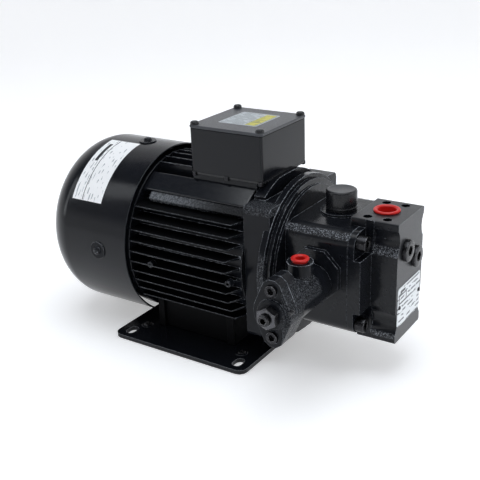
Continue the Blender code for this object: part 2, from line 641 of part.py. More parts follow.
# ---- pressure control ---------------------------------------------------------------------------
def make_compensator():
    at = (CONTROL_X, 0.0, CONTROL_Z)
    outline = oval_flange((CONTROL_X, CONTROL_Z), 17.4, 9.5, CONTROL_SCREW_DZ)
    body = finish("compensator_body", prism(outline, "Y", CAP_BACK_Y + GAP, -99.0), black_paint())
    join(
        body,
        rod(-100.0, BODY_END_Y, 17.0, "Y", at, ROUND),
        rod(0.0, 119.5 - CONTROL_Z, 11.0, "Z", (CONTROL_X, CONTROL_PORT_Y, CONTROL_Z), ROUND),
    )
    cut(
        body,
        rod(CAP_BACK_Y - 1.0, -55.0, 6.4, "Y", at, 18),
        rod(5.0, 30.0, 6.6, "Z", (CONTROL_X, CONTROL_PORT_Y, CONTROL_Z), ROUND),
        rod(-60.0, BODY_END_Y + 1.0, 3.0, "Y", at, 8),
    )
    cap = finish("compensator_cap", prism(outline, "Y", CAP_FACE_Y, CAP_BACK_Y), black_paint())
    join(cap, turned([(CAP_FACE_Y - 3.0, 0), (CAP_FACE_Y - 3.0, 12), (CAP_FACE_Y - 2.0, 13), (CAP_FACE_Y + 1.0, 13),
                      (CAP_FACE_Y + 1.0, 0)], "Y", at, 26))
    cut(cap, rod(CAP_FACE_Y - 5.0, CAP_BACK_Y + 1.0, 5.3, "Y", at, SMALL))
    for side in (-1, 1):
        z = CONTROL_Z + side * CONTROL_SCREW_DZ
        cut(body, rod(CAP_BACK_Y - 1.0, -100.0, 3.3, "Y", (CONTROL_X, 0.0, z), 10))
        hole = [(CAP_FACE_Y - 1.0, 0), (CAP_FACE_Y - 1.0, 5.4), (CAP_FACE_Y + 4.0, 5.4), (CAP_FACE_Y + 4.0, 3.3),
                (CAP_BACK_Y + 1.0, 3.3), (CAP_BACK_Y + 1.0, 0)]
        cut(cap, turned(hole, "Y", (CONTROL_X, 0.0, z), SMALL))


def make_compensator_screws():
    flip = Matrix.Rotation(math.pi, 4, "Z")
    for i, side in enumerate((-1, 1)):
        z = CONTROL_Z + side * CONTROL_SCREW_DZ
        seat = Vector((CONTROL_X, CAP_FACE_Y + 3.7, z))
        bm = turned(screw_profile(5.0, 6.0, 3.0, 14.0), "Y", (0, 0, 0), SMALL)
        placed(bm, Matrix.Translation(seat) @ flip)
        screw = finish(f"compensator_screw_{i + 1}", bm, dark_steel(), seat)
        cut(screw, prism(hexagon((CONTROL_X, z), 5.0), "Y", CAP_FACE_Y - 5.0, CAP_FACE_Y + 0.5))


def make_adjuster():
    at = (CONTROL_X, 0.0, CONTROL_Z)
    tip, end = -106.0, -134.0
    origin = (CONTROL_X, end, CONTROL_Z)
    screw = finish("adjusting_screw", rod(end, tip, 5.0, "Y", at, SMALL), dark_steel(), origin)
    cut(screw, prism(hexagon((CONTROL_X, CONTROL_Z), 5.5), "Y", end - 1.0, end + 5.0))
    back, front = CAP_FACE_Y - 3.0 - GAP, CAP_FACE_Y - 10.0
    nut = finish("lock_nut", prism(hexagon((CONTROL_X, CONTROL_Z), 16.0, 30.0), "Y", front, back), dark_steel(),
                 (CONTROL_X, front, CONTROL_Z))
    cut(nut, rod(front - 1.0, back + 1.0, 5.3, "Y", at, SMALL))
    spool = [(-88, 0), (-88, 2.5), (-84, 2.5), (-84, 6), (-76, 6), (-76, 3.5), (-68, 3.5), (-68, 6), (-59, 6),
             (-59, 0)]
    finish("spool", turned(spool, "Y", at, SMALL), steel(), (CONTROL_X, -84.0, CONTROL_Z))


def make_spring():
    """A coil spring between the spool and the adjusting screw, as a bevelled helix."""
    low, high, turns, radius, wire = -104.2, -85.7, 5, 4.2, 0.9
    curve = bpy.data.curves.new("compensator_spring", "CURVE")
    curve.dimensions = "3D"
    curve.bevel_depth = wire * MM
    curve.bevel_resolution = 0
    curve.use_fill_caps = True
    count = turns * 10
    spline = curve.splines.new("POLY")
    spline.points.add(count)
    for i, point in enumerate(spline.points):
        angle = math.tau * i / 10
        along = low + (high - low) * i / count
        point.co = (radius * math.cos(angle) * MM, along * MM, radius * math.sin(angle) * MM, 1.0)
    curve.materials.append(steel())
    obj = bpy.data.objects.new("compensator_spring", curve)
    obj.location = (CONTROL_X * MM, 0.0, CONTROL_Z * MM)
    bpy.context.scene.collection.objects.link(obj)


def main():
    clear_scene()
    make_base_plate()
    make_motor_frame()
    make_rear_shield()
    make_front_shield()
    make_electrics()
    make_motor_shaft()
    make_cooling_fan()
    make_fan_cover()
    make_terminal_box()
    make_pump_housing()
    make_pump_shaft()
    make_swash_plate()
    make_retainer_plate()
    make_slippers_and_pistons()
    make_cylinder_barrel()
    make_valve_plate()
    make_stroke_pistons()
    make_end_cover()
    make_end_cover_fasteners()
    cup_plug("outlet_plug", (PORT_X, 0.0, BLOCK_Z[1]), 11.4, 9.5, 6.2, 12.0)
    cup_plug("control_port_plug", (CONTROL_X, CONTROL_PORT_Y, 119.5), 7.5, 6.2, 3.8, 9.0)
    make_fill_cap()
    make_compensator()
    make_compensator_screws()
    make_adjuster()
    make_spring()


main()
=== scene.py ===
"""Looks of a close-coupled electric motor and axial piston pump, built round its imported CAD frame.

Lengths are in millimetres in the code and become metres in the meshes, in the frame of the CAD:
X runs along the shaft from the fan to the pump, -Y is the side of the pressure control, Z is up.
"""

import json
import math

import bmesh
import bpy
from mathutils import Matrix, Vector


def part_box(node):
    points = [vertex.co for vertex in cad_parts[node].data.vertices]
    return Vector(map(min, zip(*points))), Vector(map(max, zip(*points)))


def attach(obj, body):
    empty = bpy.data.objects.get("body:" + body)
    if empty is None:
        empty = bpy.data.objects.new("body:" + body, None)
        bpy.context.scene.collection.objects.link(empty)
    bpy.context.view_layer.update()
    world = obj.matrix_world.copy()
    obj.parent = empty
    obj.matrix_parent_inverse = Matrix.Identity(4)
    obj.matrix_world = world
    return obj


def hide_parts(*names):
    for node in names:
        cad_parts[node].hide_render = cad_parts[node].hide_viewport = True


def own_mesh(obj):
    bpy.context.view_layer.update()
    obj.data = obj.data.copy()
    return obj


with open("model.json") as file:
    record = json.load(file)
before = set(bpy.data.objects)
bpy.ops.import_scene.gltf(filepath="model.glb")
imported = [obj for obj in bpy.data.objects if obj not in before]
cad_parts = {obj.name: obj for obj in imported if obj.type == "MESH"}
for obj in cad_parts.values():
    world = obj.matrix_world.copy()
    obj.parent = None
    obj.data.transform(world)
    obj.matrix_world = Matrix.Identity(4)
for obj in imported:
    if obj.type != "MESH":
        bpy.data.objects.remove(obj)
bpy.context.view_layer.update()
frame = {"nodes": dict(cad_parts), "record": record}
MM = 0.001
SMOOTH, ROUND, SMALL = 128, 64, 32  # sides of large, middling and small round shapes
SCREW_SIDES = 48  # sides of the screws and the threaded holes that show
CORNER_STEPS = 6  # sides of a round corner
HOUSING = "housing"  # the body of everything that stands still
ORIGIN = (0.0, 0.0, 0.0)  # where a piece is drawn before it is turned and put in its place


# ---- places, from the frame ---------------------------------------------------------------------
def low(node):
    """The low corner of a CAD node's box, in millimetres."""
    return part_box(node)[0] / MM


def high(node):
    """The high corner of a CAD node's box, in millimetres."""
    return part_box(node)[1] / MM


def middle(node):
    """The middle of a CAD node's box, in millimetres."""
    return (low(node) + high(node)) / 2


SHAFT_Z = middle("motor_shaft").z
FRAME_X = (low("motor_frame").x, high("motor_frame").x)
FIN_TIP_R = high("motor_frame").y
FIN_TOP_Z, FIN_PITCH, FINS_PER_SIDE = 134.0, 10.0, 10
FIN_HALF_ROOT, FIN_HALF_TIP = 1.5, 0.65  # half the thickness of a fin at its root and its tip
BARREL_BORE, BARREL_WALL, BARREL_R = 60.0, 63.0, 66.0  # the fins take root in the middle of the wall
BOX_LOW, BOX_HIGH = low("terminal_box"), high("terminal_box")
LID_FACE = high("terminal_box_lid").z - 0.2  # the visible lid's face, a little below the CAD's
COVER_R = high("fan_cover").y
COVER_X = (low("fan_cover").x, high("fan_cover").x)
COVER_SCREW_X = -84.0
NOTCH_X = -106.0  # how far the notch for the base plate reaches
COVER_WALL = 1.5
PLATE_TOP = high("base_plate").z
END_X = high("end_cover").x
BLOCK_TOP = high("end_cover").z
CONTROL = middle("adjusting_screw")
CAP_LOW = low("compensator_cap")


# ---- camera, floor and lights -------------------------------------------------------------------
CAMERA_AT = (0.4277, -0.6013, 0.3857)
CAMERA_ANGLES = (34.07, 22.18, 2.23)  # azimuth, elevation and roll, in degrees
COOL, WHITE = (0.92, 0.96, 1.0), (1.0, 1.0, 1.0)


def make_camera():
    """The photograph's camera, solved from the foot pattern of the motor."""
    azimuth, elevation, roll = (math.radians(a) for a in CAMERA_ANGLES)
    back = Vector((math.sin(azimuth) * math.cos(elevation), -math.cos(azimuth) * math.cos(elevation),
                   math.sin(elevation)))
    right = Vector((math.cos(azimuth), math.sin(azimuth), 0.0))
    up = back.cross(right)
    rolled_right = right * math.cos(roll) - up * math.sin(roll)
    rolled_up = right * math.sin(roll) + up * math.cos(roll)
    camera = bpy.data.objects.new("camera", bpy.data.cameras.new("camera"))
    camera.data.lens = 61.25
    camera.data.sensor_width = 36.0
    camera.data.clip_start = 0.01
    turn = Matrix((rolled_right, rolled_up, back)).transposed().to_4x4()
    camera.matrix_world = Matrix.Translation(CAMERA_AT) @ turn
    bpy.context.scene.collection.objects.link(camera)
    bpy.context.scene.camera = camera


def area_light(name, at, towards, size, watts, colour=COOL):
    """A soft rectangular light at a place, aimed at another, in metres."""
    light = bpy.data.lights.new(name, "AREA")
    light.shape = "RECTANGLE"
    light.size, light.size_y = size
    light.energy = watts
    light.color = colour
    lamp = bpy.data.objects.new(name, light)
    aim = Vector(towards) - Vector(at)
    lamp.matrix_world = Matrix.Translation(at) @ aim.to_track_quat("-Z", "Y").to_matrix().to_4x4()
    bpy.context.scene.collection.objects.link(lamp)


def make_studio():
    """A pale round floor that curves up into a wall all round, under large soft lights."""
    floor_r, bend, rise, bend_steps = 1.6, 1.2, 3.2, 12
    gap = 0.0005  # between the floor and the base plate, so that their faces don't fight
    profile = [(0.0, 0.0), (floor_r, 0.0)]
    profile += [(floor_r + bend * math.sin(a), bend - bend * math.cos(a))
                for a in (math.radians(90.0 / bend_steps * i) for i in range(1, bend_steps + 1))]
    profile.append((floor_r + bend, rise))
    bm = bmesh.new()
    verts = [bm.verts.new((r, 0.0, z - gap)) for r, z in profile]
    edges = [bm.edges.new(pair) for pair in zip(verts, verts[1:])]
    bmesh.ops.spin(bm, geom=verts + edges, cent=ORIGIN, axis=(0, 0, 1), angle=math.tau, steps=96,
                   use_merge=True, use_duplicate=False)
    bmesh.ops.remove_doubles(bm, verts=bm.verts, dist=1e-5)
    mesh = bpy.data.meshes.new("backdrop")
    bm.to_mesh(mesh)
    bm.free()
    mesh.shade_smooth()
    mesh.materials.append(paper())
    sweep = bpy.data.objects.new("backdrop", mesh)
    bpy.context.scene.collection.objects.link(sweep)

    area_light("overhead", (0.1, -0.1, 1.7), ORIGIN, (1.5, 1.5), 20.5)
    area_light("left_strip", (-1.15, -0.75, 0.75), (-0.1, 0.0, 0.12), (0.3, 1.2), 2.6)
    area_light("right_panel", (1.35, 0.35, 0.75), (0.15, 0.0, 0.1), (0.8, 0.9), 2.4)
    area_light("wall_wash", (0.0, 0.0, 3.0), (0.0, 0.0, 9.0), (2.0, 2.0), 6.0, WHITE)

    world = bpy.data.worlds.new("studio")
    world.use_nodes = True
    sky = world.node_tree.nodes["Background"]
    sky.inputs["Color"].default_value = (0.60, 0.68, 0.84, 1.0)
    sky.inputs["Strength"].default_value = 0.13
    bpy.context.scene.world = world
    bpy.context.scene.view_settings.view_transform = "Standard"


# ---- materials ----------------------------------------------------------------------------------
def rgba(colour):
    """A colour with its alpha. A socket stays as it is."""
    return (*colour, 1.0) if isinstance(colour, tuple) else colour


class Nodes:
    """A short way to build a material's node tree in object coordinates."""

    def __init__(self, name):
        self.material = bpy.data.materials.new(name)
        self.material.use_nodes = True
        self.tree = self.material.node_tree
        self.shader = self.tree.nodes["Principled BSDF"]
        self.place = self.new("ShaderNodeTexCoord").outputs["Object"]

    def new(self, kind, **settings):
        """Adds a node with its settings."""
        node = self.tree.nodes.new(kind)
        for key, value in settings.items():
            setattr(node, key, value)
        return node

    def link(self, value, socket):
        """Joins another node's output to a socket, or sets the socket to a constant."""
        if isinstance(value, bpy.types.NodeSocket):
            self.tree.links.new(value, socket)
        else:
            socket.default_value = value

    def noise(self, size_mm, detail=2.0, roughness=0.5, stretch=(1.0, 1.0, 1.0)):
        """Noise whose features are about size_mm across; stretch makes them longer along an axis."""
        mapping = self.new("ShaderNodeMapping")
        mapping.inputs["Scale"].default_value = [1.0 / s for s in stretch]
        self.link(self.place, mapping.inputs["Vector"])
        noise = self.new("ShaderNodeTexNoise")
        noise.inputs["Scale"].default_value = 1.0 / (size_mm * MM)
        noise.inputs["Detail"].default_value = detail
        noise.inputs["Roughness"].default_value = roughness
        self.link(mapping.outputs["Vector"], noise.inputs["Vector"])
        return noise.outputs["Fac"]

    def ranged(self, value, source, target, smooth=False):
        """A value carried from one range to another, and held at its ends."""
        node = self.new("ShaderNodeMapRange", interpolation_type="SMOOTHSTEP" if smooth else "LINEAR")
        self.link(value, node.inputs["Value"])
        for key, number in zip(("From Min", "From Max", "To Min", "To Max"), (*source, *target)):
            node.inputs[key].default_value = number
        return node.outputs["Result"]

    def math(self, operation, a, b=0.0, c=0.0):
        """One step of arithmetic on values or constants."""
        node = self.new("ShaderNodeMath", operation=operation)
        for value, socket in zip((a, b, c), node.inputs):
            self.link(value, socket)
        return node.outputs[0]

    def mix(self, factor, a, b):
        """A colour between two others."""
        node = self.new("ShaderNodeMix", data_type="RGBA")
        self.link(factor, node.inputs["Factor"])
        self.link(rgba(a), node.inputs["A"])
        self.link(rgba(b), node.inputs["B"])
        return node.outputs["Result"]

    def axis(self, name):
        """How far along X, Y or Z a point is, in metres."""
        node = self.new("ShaderNodeSeparateXYZ")
        self.link(self.place, node.inputs[0])
        return node.outputs[name]

    def edges(self, radius_mm):
        """Wear and a painted highlight: 1 on sharp edges that face up towards the overhead lamp, less on
        the others, 0 about radius_mm away from them.
        """
        rounded_off = self.new("ShaderNodeBevel", samples=6)
        rounded_off.inputs["Radius"].default_value = radius_mm * MM
        lean = self.new("ShaderNodeVectorMath", operation="DOT_PRODUCT")
        self.link(rounded_off.outputs["Normal"], lean.inputs[0])
        self.link(self.new("ShaderNodeNewGeometry").outputs["Normal"], lean.inputs[1])
        split = self.new("ShaderNodeSeparateXYZ")
        self.link(rounded_off.outputs["Normal"], split.inputs[0])
        # painted highlight: edges whose rounded normal faces up, towards the overhead lamp, count for more
        lit_from_above = self.ranged(split.outputs["Z"], (-0.1, 0.55), (0.22, 1.0), True)
        near = self.ranged(lean.outputs["Value"], (0.99, 0.86), (0.0, 1.0), True)
        return self.math("MULTIPLY", near, lit_from_above)

    def inside(self, low_corner, high_corner, soft_mm=1.5):
        """1 within a box given in millimetres, with soft sides."""
        mask = None
        for name, start, end in zip("XYZ", low_corner, high_corner):
            along = self.axis(name)
            for limit, out in ((start, -1.0), (end, 1.0)):
                reach = (limit * MM, (limit + out * soft_mm) * MM)
                side = self.ranged(along, reach, (1.0, 0.0), True)
                mask = side if mask is None else self.math("MULTIPLY", mask, side)
        return mask

    def bump(self, height, depth_mm, after=None):
        """A normal that a height tilts, on top of the normal that comes before it."""
        node = self.new("ShaderNodeBump")
        node.inputs["Strength"].default_value = 1.0
        node.inputs["Distance"].default_value = depth_mm * MM
        self.link(height, node.inputs["Height"])
        if after is not None:
            self.link(after, node.inputs["Normal"])
        return node.outputs["Normal"]

    def done(self, colour, roughness, normal=None, **constants):
        """Sets the shader and hands over the material."""
        self.link(rgba(colour), self.shader.inputs["Base Color"])
        self.link(roughness, self.shader.inputs["Roughness"])
        if normal is not None:
            self.link(normal, self.shader.inputs["Normal"])
        for key, value in constants.items():
            self.shader.inputs[key.replace("_", " ")].default_value = value
        return self.material


def cached(make):
    """Makes each material once."""
    made = {}

    def get(*values, **settings):
        key = (values, tuple(sorted(settings.items())))
        if key not in made:
            made[key] = make(*values, **settings)
        return made[key]

    return get


@cached
def paper():
    """Pale paper that glows a little, darker where the bowl rises behind the photograph's camera."""
    n = Nodes("backdrop_paper")
    wall = n.math("MULTIPLY", n.ranged(n.axis("Z"), (0.2, 1.0), (0.0, 1.0), True),
                  n.ranged(n.axis("Y"), (1.0, -0.8), (0.0, 1.0), True))
    colour = n.mix(n.noise(400.0), (0.86, 0.86, 0.87), (0.9, 0.9, 0.905))
    colour = n.mix(wall, colour, (0.3, 0.3, 0.31))
    n.link(n.ranged(wall, (0.0, 1.0), (0.37, 0.04)), n.shader.inputs["Emission Strength"])
    return n.done(colour, n.ranged(n.noise(60.0), (0.3, 0.7), (0.75, 0.9)),
                  Emission_Color=(1.0, 1.0, 1.0, 1.0))


def cool_grey(shade):
    """A grey that leans a little to blue."""
    return shade * 0.94, shade, shade * 1.1


@cached
def cast_paint(name="cast_paint", grain_mm=1.3, grain_depth=0.05, lump_depth=0.2, rough_zones=(),
               edge=0.32, gloss=0.25, peak=0.09):
    """Gloss black paint over a sand casting, with coarse skin in some zones, worn edges that carry a
    painted highlight, and painted glints on the coarse skin's peaks.

    A rough zone is a box in millimetres and the width of its soft sides. edge and peak are how pale the
    edges (wear and painted highlight) and the painted glints on the coarse skin's peaks are.
    """
    n = Nodes(name)
    lumps = n.noise(9.0, 3.0)
    grain = n.noise(grain_mm, 3.0, 0.6)
    patch = n.ranged(n.noise(22.0, 2.0), (0.42, 0.62), (0.3, 1.0), True)
    fine = n.math("MULTIPLY", grain, patch)
    normal = n.bump(fine, grain_depth, n.bump(lumps, lump_depth))
    colour = n.mix(lumps, (0.0045, 0.0052, 0.0068), (0.008, 0.009, 0.012))
    if rough_zones:
        coarse = n.noise(0.95, 3.0, 0.6)
        rough = None
        for zone in rough_zones:
            mask = n.inside(*zone)
            rough = mask if rough is None else n.math("MAXIMUM", rough, mask)
        normal = n.bump(n.math("MULTIPLY", coarse, rough), 0.8, normal)
        # painted glints: the coarse skin's peaks are made paler
        glinting_peaks = n.math("MULTIPLY", n.ranged(coarse, (0.48, 0.66), (0.0, 1.0), True), rough)
        colour = n.mix(glinting_peaks, colour, cool_grey(peak))
    # pale edges: partly wear, partly a painted highlight
    broken = n.ranged(n.noise(2.4, 3.0), (0.40, 0.62), (0.16, 1.0), True)
    worn_and_lit = n.math("MULTIPLY", n.edges(0.8), broken)
    colour = n.mix(worn_and_lit, colour, cool_grey(edge))
    roughness = n.ranged(fine, (0.1, 0.7), (0.15, 0.27))
    return n.done(colour, roughness, normal, Specular_IOR_Level=gloss)


@cached
def deep_shade():
    """Painted shade: a dull, near-black paint with a faint random mottle, for the faces deep between the
    fins and low under the barrel.
    """
    n = Nodes("fin_flank_paint")
    mottle = n.noise(6.0, 3.0)
    colour = n.mix(mottle, (0.0012, 0.0013, 0.0017), (0.003, 0.0033, 0.004))
    return n.done(colour, n.ranged(mottle, (0.3, 0.7), (0.4, 0.6)), n.bump(n.noise(1.3, 3.0), 0.03),
                  Specular_IOR_Level=0.08)


@cached
def pad_skin():
    """The coarse skin under a name pad: coarse at the fan end and smooth at the pump end, with painted
    glints that fade out from the fan end, where the light catches it.
    """
    n = Nodes("pad_skin_paint")
    fade = n.ranged(n.axis("X"), (-0.025, 0.045), (1.0, 0.0), True)
    grain = n.noise(1.8, 4.0, 0.7)
    # painted glints: pale specks on the grain, strongest at the fan end
    glint = n.math("MULTIPLY", n.ranged(grain, (0.40, 0.62), (0.3, 1.0), True), fade)
    colour = n.mix(glint, (0.005, 0.0055, 0.007), (0.15, 0.16, 0.175))
    normal = n.bump(n.math("MULTIPLY", grain, n.ranged(fade, (0.0, 1.0), (0.25, 1.0))), 0.5)
    return n.done(colour, n.ranged(grain, (0.3, 0.7), (0.18, 0.34)), normal, Specular_IOR_Level=0.35)


# pale colour of the edges: partly wear, partly a painted highlight
PALE_EDGE = (0.3, 0.31, 0.33)


@cached
def pressed_paint(name="pressed_paint", edge=(0.07, 0.074, 0.083), gloss=0.24):
    """Smooth gloss paint on pressed steel, with a faint orange peel and lighter edges that are partly wear
    and partly a painted highlight.
    """
    n = Nodes(name)
    peel = n.noise(3.0, 1.0)
    sweep = n.noise(45.0, 1.0)
    normal = n.bump(peel, 0.005, n.bump(sweep, 0.1))
    colour = n.mix(sweep, (0.0045, 0.0052, 0.0068), (0.007, 0.008, 0.011))
    # pale edges: partly wear, partly a painted highlight
    colour = n.mix(n.edges(0.7), colour, edge)
    return n.done(colour, n.ranged(peel, (0.3, 0.7), (0.13, 0.2)), normal, Specular_IOR_Level=gloss)


@cached
def machined_paint(name="machined_paint", shade=0.02):
    """Thin black paint over a milled face: smoother than the casting, with faint cutter marks and pale
    edges that are partly wear and partly a painted highlight.
    """
    n = Nodes(name)
    marks = n.noise(1.2, 2.0, 0.5, (9.0, 1.0, 9.0))
    fine = n.noise(0.9, 2.0)
    normal = n.bump(marks, 0.012, n.bump(fine, 0.012))
    colour = n.mix(n.noise(12.0), (shade * 0.8, shade * 0.86, shade),
                   (shade * 1.25, shade * 1.35, shade * 1.6))
    # pale edges: partly wear, partly a painted highlight
    colour = n.mix(n.edges(0.8), colour, (0.15, 0.155, 0.165))
    return n.done(colour, n.ranged(fine, (0.3, 0.7), (0.3, 0.42)), normal, Specular_IOR_Level=0.5)


@cached
def oxide_steel(name="black_oxide_steel", shade=0.03):
    """Blackened steel with bright edges: partly wear, partly a painted highlight on the edges that face up.
    """
    n = Nodes(name)
    wear = n.ranged(n.noise(3.0, 4.0, 0.65), (0.5, 0.75), (0.0, 1.0), True)
    colour = n.mix(wear, (shade, shade, shade * 1.08), (shade * 2.2, shade * 2.2, shade * 2.2))
    # pale edges: partly wear, partly a painted highlight
    colour = n.mix(n.edges(0.6), colour, (0.45, 0.45, 0.46))
    return n.done(colour, n.ranged(n.noise(1.0, 2.0), (0.3, 0.7), (0.22, 0.38)),
                  n.bump(n.noise(0.8, 2.0), 0.008), Metallic=1.0)


@cached
def bright_steel():
    """Ground and turned steel, with marks that run round the shaft."""
    n = Nodes("machined_steel")
    marks = n.noise(0.6, 2.0, 0.5, (1.0, 12.0, 12.0))
    colour = n.mix(n.noise(8.0), (0.42, 0.42, 0.43), (0.55, 0.55, 0.55))
    return n.done(colour, n.ranged(marks, (0.3, 0.7), (0.22, 0.4)), n.bump(marks, 0.01), Metallic=1.0)


@cached
def bearing_bronze():
    """Bronze with a little stain, for the valve plate and the slippers."""
    n = Nodes("bearing_bronze")
    stain = n.noise(5.0, 3.0)
    colour = n.mix(stain, (0.42, 0.25, 0.10), (0.62, 0.42, 0.2))
    return n.done(colour, n.ranged(stain, (0.3, 0.7), (0.28, 0.45)), n.bump(n.noise(0.7), 0.01),
                  Metallic=1.0)


@cached
def copper_winding():
    """Varnished turns of wire that run round the shaft."""
    n = Nodes("copper_winding")
    pace = 2600.0  # radians of the wave in a metre, one wire to a wave
    turns = n.math("SINE", n.math("MULTIPLY", n.axis("X"), pace))
    colour = n.mix(n.noise(4.0), (0.45, 0.16, 0.06), (0.62, 0.26, 0.1))
    return n.done(colour, n.ranged(n.noise(2.0), (0.3, 0.7), (0.25, 0.5)), n.bump(turns, 0.25),
                  Metallic=0.7)


@cached
def black_plastic():
    """Moulded black plastic and rubber with a fine grain."""
    n = Nodes("black_plastic")
    grain = n.noise(0.7, 2.0)
    colour = n.mix(n.noise(10.0), (0.007, 0.0075, 0.009), (0.012, 0.0125, 0.0145))
    # pale edges: partly wear, partly a painted highlight
    colour = n.mix(n.edges(0.7), colour, (0.06, 0.062, 0.068))
    return n.done(colour, n.ranged(grain, (0.3, 0.7), (0.2, 0.3)), n.bump(grain, 0.012),
                  Specular_IOR_Level=0.4)


@cached
def red_plastic():
    """The soft red plastic of the protection plugs."""
    n = Nodes("red_plastic")
    flow = n.noise(5.0, 2.0)
    colour = n.mix(flow, (0.52, 0.010, 0.008), (0.66, 0.016, 0.011))
    return n.done(colour, n.ranged(flow, (0.3, 0.7), (0.3, 0.42)), n.bump(n.noise(1.0), 0.01),
                  Specular_IOR_Level=0.35)


@cached
def sticker(name, across, size_mm, shade, ink, amount):
    """A printed sticker: rows of plain broken lines, which stand in for the print, on a pale ground.

    The rows are size_mm apart along the axis across, and amount says how much of a row is inked.
    """
    n = Nodes(name)
    row_height = 0.42
    row = n.math("FRACT", n.math("MULTIPLY", n.axis(across), 1.0 / (size_mm * MM)))
    in_row = n.math("LESS_THAN", row, row_height)
    along = tuple(1.0 if axis == across else 2.6 for axis in "XYZ")
    words = n.math("GREATER_THAN", n.noise(size_mm * 0.8, 1.0, 0.5, along), 1.0 - amount)
    print_mask = n.math("MULTIPLY", in_row, words)
    base = n.mix(n.noise(14.0), shade, tuple(c * 0.95 for c in shade))
    return n.done(n.mix(print_mask, base, ink), n.ranged(n.noise(6.0), (0.3, 0.7), (0.32, 0.45)),
                  n.bump(n.noise(12.0), 0.03))


@cached
def plain_ink(name, colour):
    """Flat print in one colour."""
    n = Nodes(name)
    return n.done(n.mix(n.noise(3.0), colour, tuple(c * 0.85 for c in colour)),
                  n.ranged(n.noise(4.0), (0.3, 0.7), (0.4, 0.5)))


# ---- mesh helpers -------------------------------------------------------------------------------
TURN_TO = {
    "X": Matrix.Identity(4),
    "Y": Matrix.Rotation(math.radians(90.0), 4, "Z"),
    "Z": Matrix.Rotation(math.radians(-90.0), 4, "Y"),
}


def draft(bm, name="draft"):
    """Makes a mesh in millimetres into a loose object in metres."""
    bmesh.ops.remove_doubles(bm, verts=bm.verts, dist=1e-4)
    bmesh.ops.recalc_face_normals(bm, faces=bm.faces)
    bm.transform(Matrix.Scale(MM, 4))
    mesh = bpy.data.meshes.new(name)
    bm.to_mesh(mesh)
    bm.free()
    obj = bpy.data.objects.new(name, mesh)
    bpy.context.scene.collection.objects.link(obj)
    return obj


def add(name, bm, look, body=HOUSING, replaces=(), bevel=0.0, angle=35.0, segments=2):
    """Makes a mesh in millimetres into a piece with round edges that rides on a body of the frame."""
    piece = draft(bm, name)
    piece.data.materials.append(look)
    if bevel:
        rounding = piece.modifiers.new("Rounding", "BEVEL")
        rounding.width = bevel * MM
        rounding.segments = segments
        rounding.limit_method = "ANGLE"
        rounding.angle_limit = math.radians(angle)
        rounding.use_clamp_overlap = True
        rounding.miter_outer = "MITER_ARC"
    piece.data.shade_smooth()
    piece.data.set_sharp_from_angle(angle=math.radians(angle))
    if bevel:
        weighted = piece.modifiers.new("Shading", "WEIGHTED_NORMAL")
        weighted.keep_sharp = True
    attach(piece, body)
    if replaces:
        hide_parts(*replaces)
    return piece


def relook(piece, look, chosen):
    """Gives a piece's chosen faces a second material."""
    piece.data.materials.append(look)
    for face in piece.data.polygons:
        face.material_index = int(chosen(face))


def bake(piece):
    """Applies a piece's modifiers and removes the cutters that they used."""
    cutters = [m.object for m in piece.modifiers if m.type == "BOOLEAN"]
    bpy.context.view_layer.update()
    result = bpy.data.meshes.new_from_object(piece.evaluated_get(bpy.context.evaluated_depsgraph_get()))
    piece.modifiers.clear()
    piece.data = result
    for cutter in cutters:
        bpy.data.objects.remove(cutter)


def carve(solid, *tools):
    """A mesh in millimetres cut by others, as a new mesh in millimetres."""
    obj = draft(solid)
    for tool in tools:
        modifier = obj.modifiers.new("Cut", "BOOLEAN")
        modifier.operation = "DIFFERENCE"
        modifier.object = draft(tool)
    bake(obj)
    bm = bmesh.new()
    bm.from_mesh(obj.data)
    bm.transform(Matrix.Scale(1.0 / MM, 4))
    bpy.data.objects.remove(obj)
    return bm


def refined(node):
    """A CAD node's mesh in millimetres, with its flat faces whole again."""
    bm = bmesh.new()
    bm.from_mesh(frame["nodes"][node].data)
    bm.transform(Matrix.Scale(1.0 / MM, 4))
    bmesh.ops.remove_doubles(bm, verts=bm.verts, dist=1e-3)
    bmesh.ops.dissolve_limit(bm, angle_limit=math.radians(1.0), verts=bm.verts, edges=bm.edges)
    return bm


def turned(profile, axis="X", at=(0.0, 0.0, SHAFT_Z), steps=ROUND):
    """A solid of revolution from (along the axis, radius) points: a closed ring, or ends at radius 0."""
    bm = bmesh.new()
    verts = [bm.verts.new((along, 0.0, radius)) for along, radius in profile if radius > 0.0]
    edges = [bm.edges.new(pair) for pair in zip(verts, verts[1:])]
    hollow = profile[0][1] > 0.0
    if hollow:
        edges.append(bm.edges.new((verts[-1], verts[0])))
    bmesh.ops.spin(bm, geom=verts + edges, cent=ORIGIN, axis=(1, 0, 0), angle=math.tau, steps=steps,
                   use_merge=True, use_duplicate=False)
    if not hollow:
        bmesh.ops.holes_fill(bm, edges=[e for e in bm.edges if len(e.link_faces) == 1], sides=0)
    return placed(bm, Matrix.Translation(Vector(at)) @ TURN_TO[axis])


def prism(outline, axis, start, end, bm=None):
    """An outline extruded along an axis. Its points are (y, z) for X, (x, z) for Y and (x, y) for Z."""
    bm = bm or bmesh.new()
    place = {
        "X": lambda a, b: (start, a, b),
        "Y": lambda a, b: (a, start, b),
        "Z": lambda a, b: (a, b, start),
    }[axis]
    face = bm.faces.new([bm.verts.new(place(a, b)) for a, b in outline])
    grown = bmesh.ops.extrude_face_region(bm, geom=[face])["geom"]
    step = Vector([(end - start) * (name == axis) for name in "XYZ"])
    bmesh.ops.translate(bm, vec=step, verts=[v for v in grown if isinstance(v, bmesh.types.BMVert)])
    return bm


def block(x, y, z, bm=None):
    """A box from its limits along each axis."""
    outline = [(x[0], y[0]), (x[1], y[0]), (x[1], y[1]), (x[0], y[1])]
    return prism(outline, "Z", z[0], z[1], bm)


